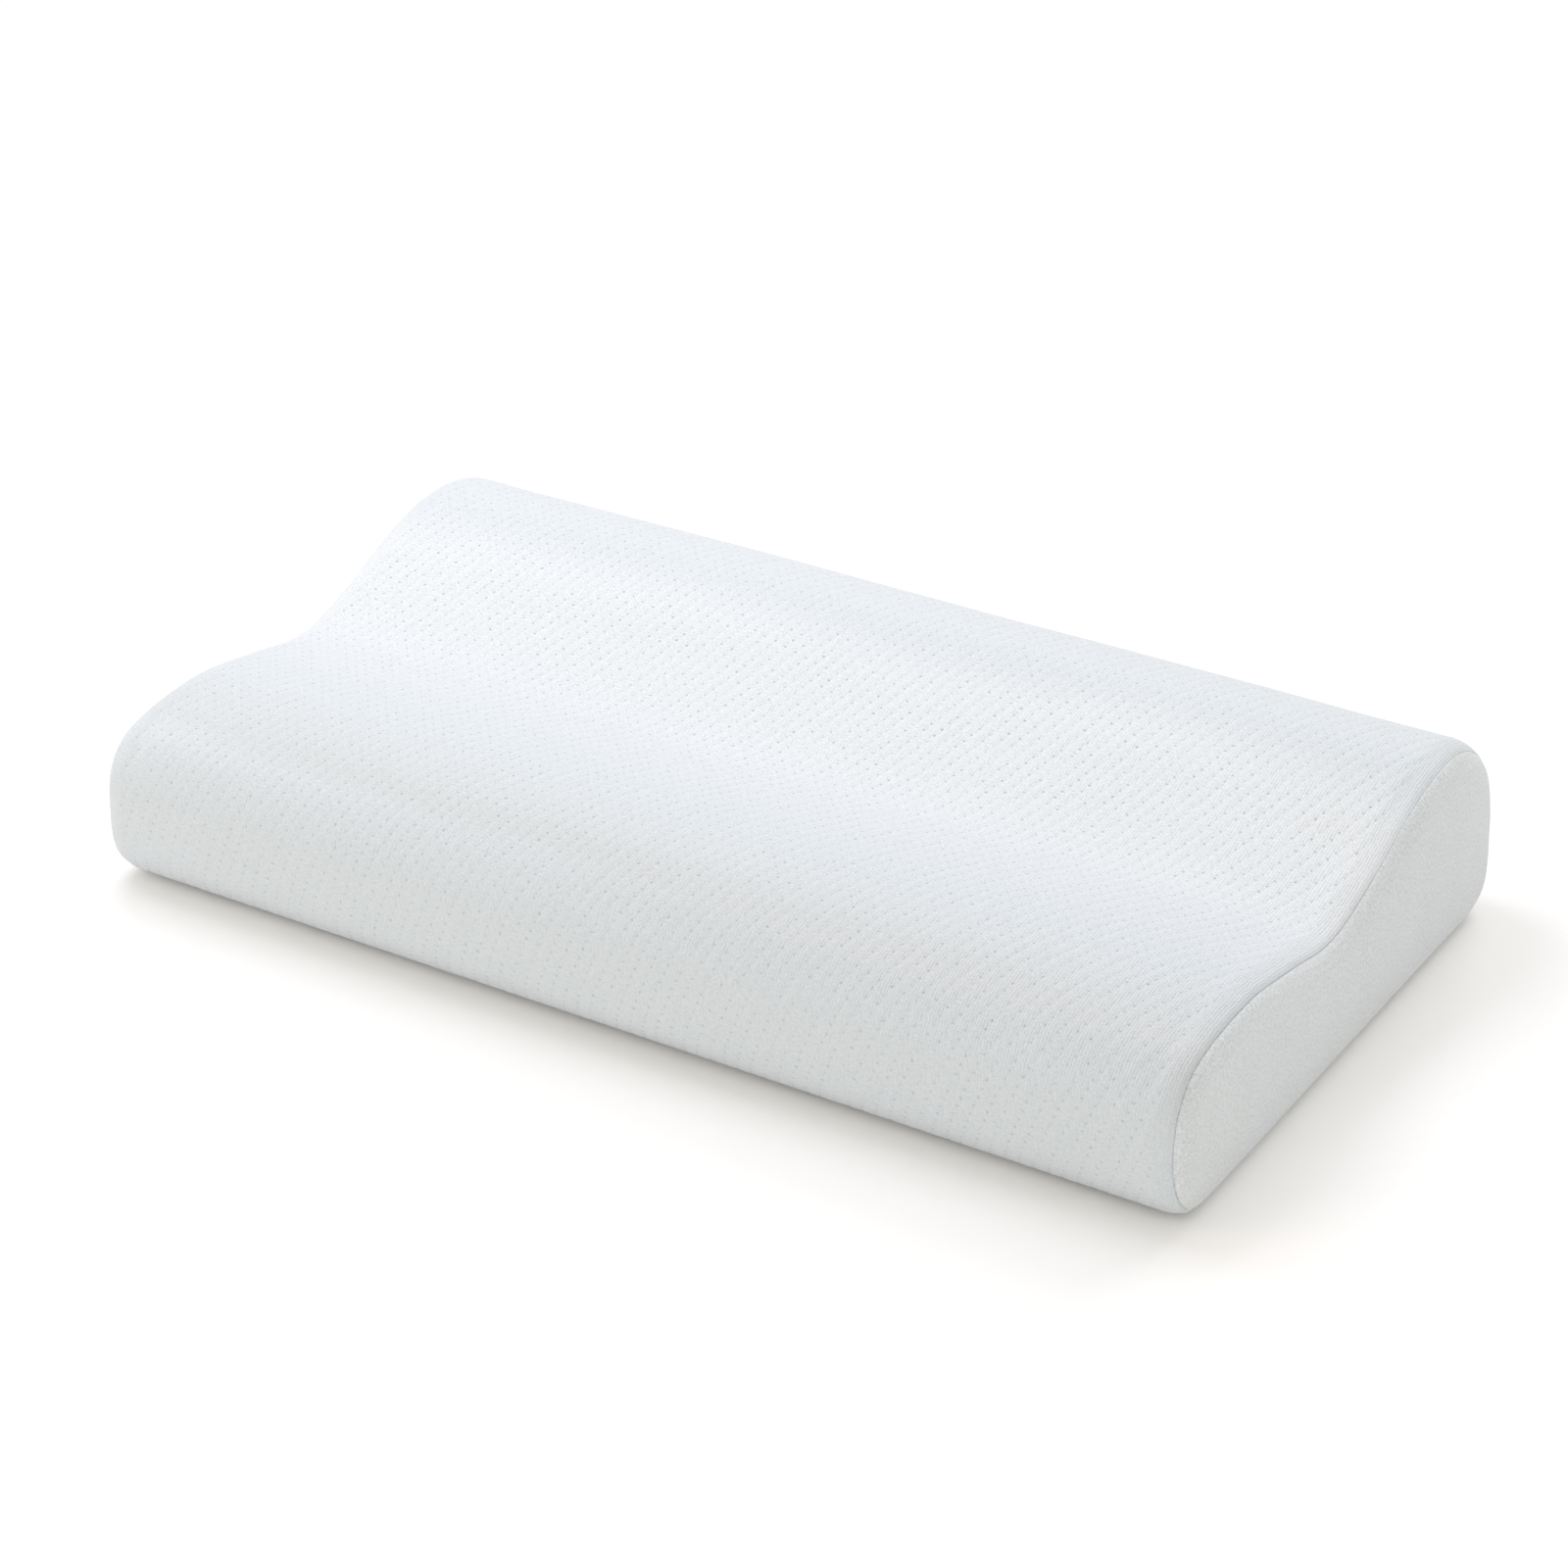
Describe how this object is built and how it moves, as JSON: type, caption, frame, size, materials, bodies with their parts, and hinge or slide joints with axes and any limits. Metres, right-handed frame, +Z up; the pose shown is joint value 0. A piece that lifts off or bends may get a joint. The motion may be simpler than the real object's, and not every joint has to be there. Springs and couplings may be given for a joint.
{
  "type": "contour bed pillow",
  "caption": "Wave-shaped foam bed pillow with a high and a low lobe and a valley for the head, in a zipped knitted cover.",
  "frame": {"origin": "middle of the flat underside: halfway along the length and halfway between the front of the low lobe and the back of the high lobe", "axes": "+X along the length, +Y from the low lobe to the high lobe and its zip, +Z up from the underside"},
  "size_m": [0.6008, 0.3558, 0.1102],
  "materials": {
    "core_foam": "open-cell foam, matte",
    "liner": "thin plain knit",
    "cover_knit": "air-layer knit with small dimples",
    "cover_base_fabric": "plain knit",
    "cover_end_fabric": "plain rib knit",
    "seam_fabric": "folded knit",
    "zip_tape": "woven tape",
    "zip_coil": "satin",
    "zip_stops": "satin",
    "thread": "spun thread",
    "slider_metal": "satin paint",
    "label_fabric": "satin ribbon"
  },
  "bodies": {
    "pillow": {"foam_core": "core_foam", "liner_sleeve": "liner", "liner_end_left": "liner", "liner_end_right": "liner", "cover_top": "cover_knit", "cover_base": "cover_base_fabric", "cover_end_left": "cover_end_fabric", "cover_end_right": "cover_end_fabric", "seam_allowance_left": "seam_fabric", "seam_allowance_right": "seam_fabric", "zip_tape_upper": "zip_tape", "zip_tape_lower": "zip_tape", "zip_coil_upper": "zip_coil", "zip_coil_lower": "zip_coil", "zip_top_stops": "zip_stops", "zip_bottom_stop": "zip_stops", "zip_stitching_upper": "thread", "zip_stitching_lower": "thread", "care_label": "label_fabric"},
    "slider": {"zip_slider": "slider_metal"},
    "pull": {"zip_pull": "slider_metal"}
  },
  "joints": [
    {"name": "zip_slide", "type": "slide", "parent": "pillow", "child": "slider", "axis": [1, 0, 0], "range_m": [0, 0.4724]},
    {"name": "pull_swing", "type": "hinge", "parent": "slider", "child": "pull", "pos_m": [-0.2362, 0.1791, 0.04], "axis": [0, 0, 1], "range_deg": [0, 180]}
  ]
}
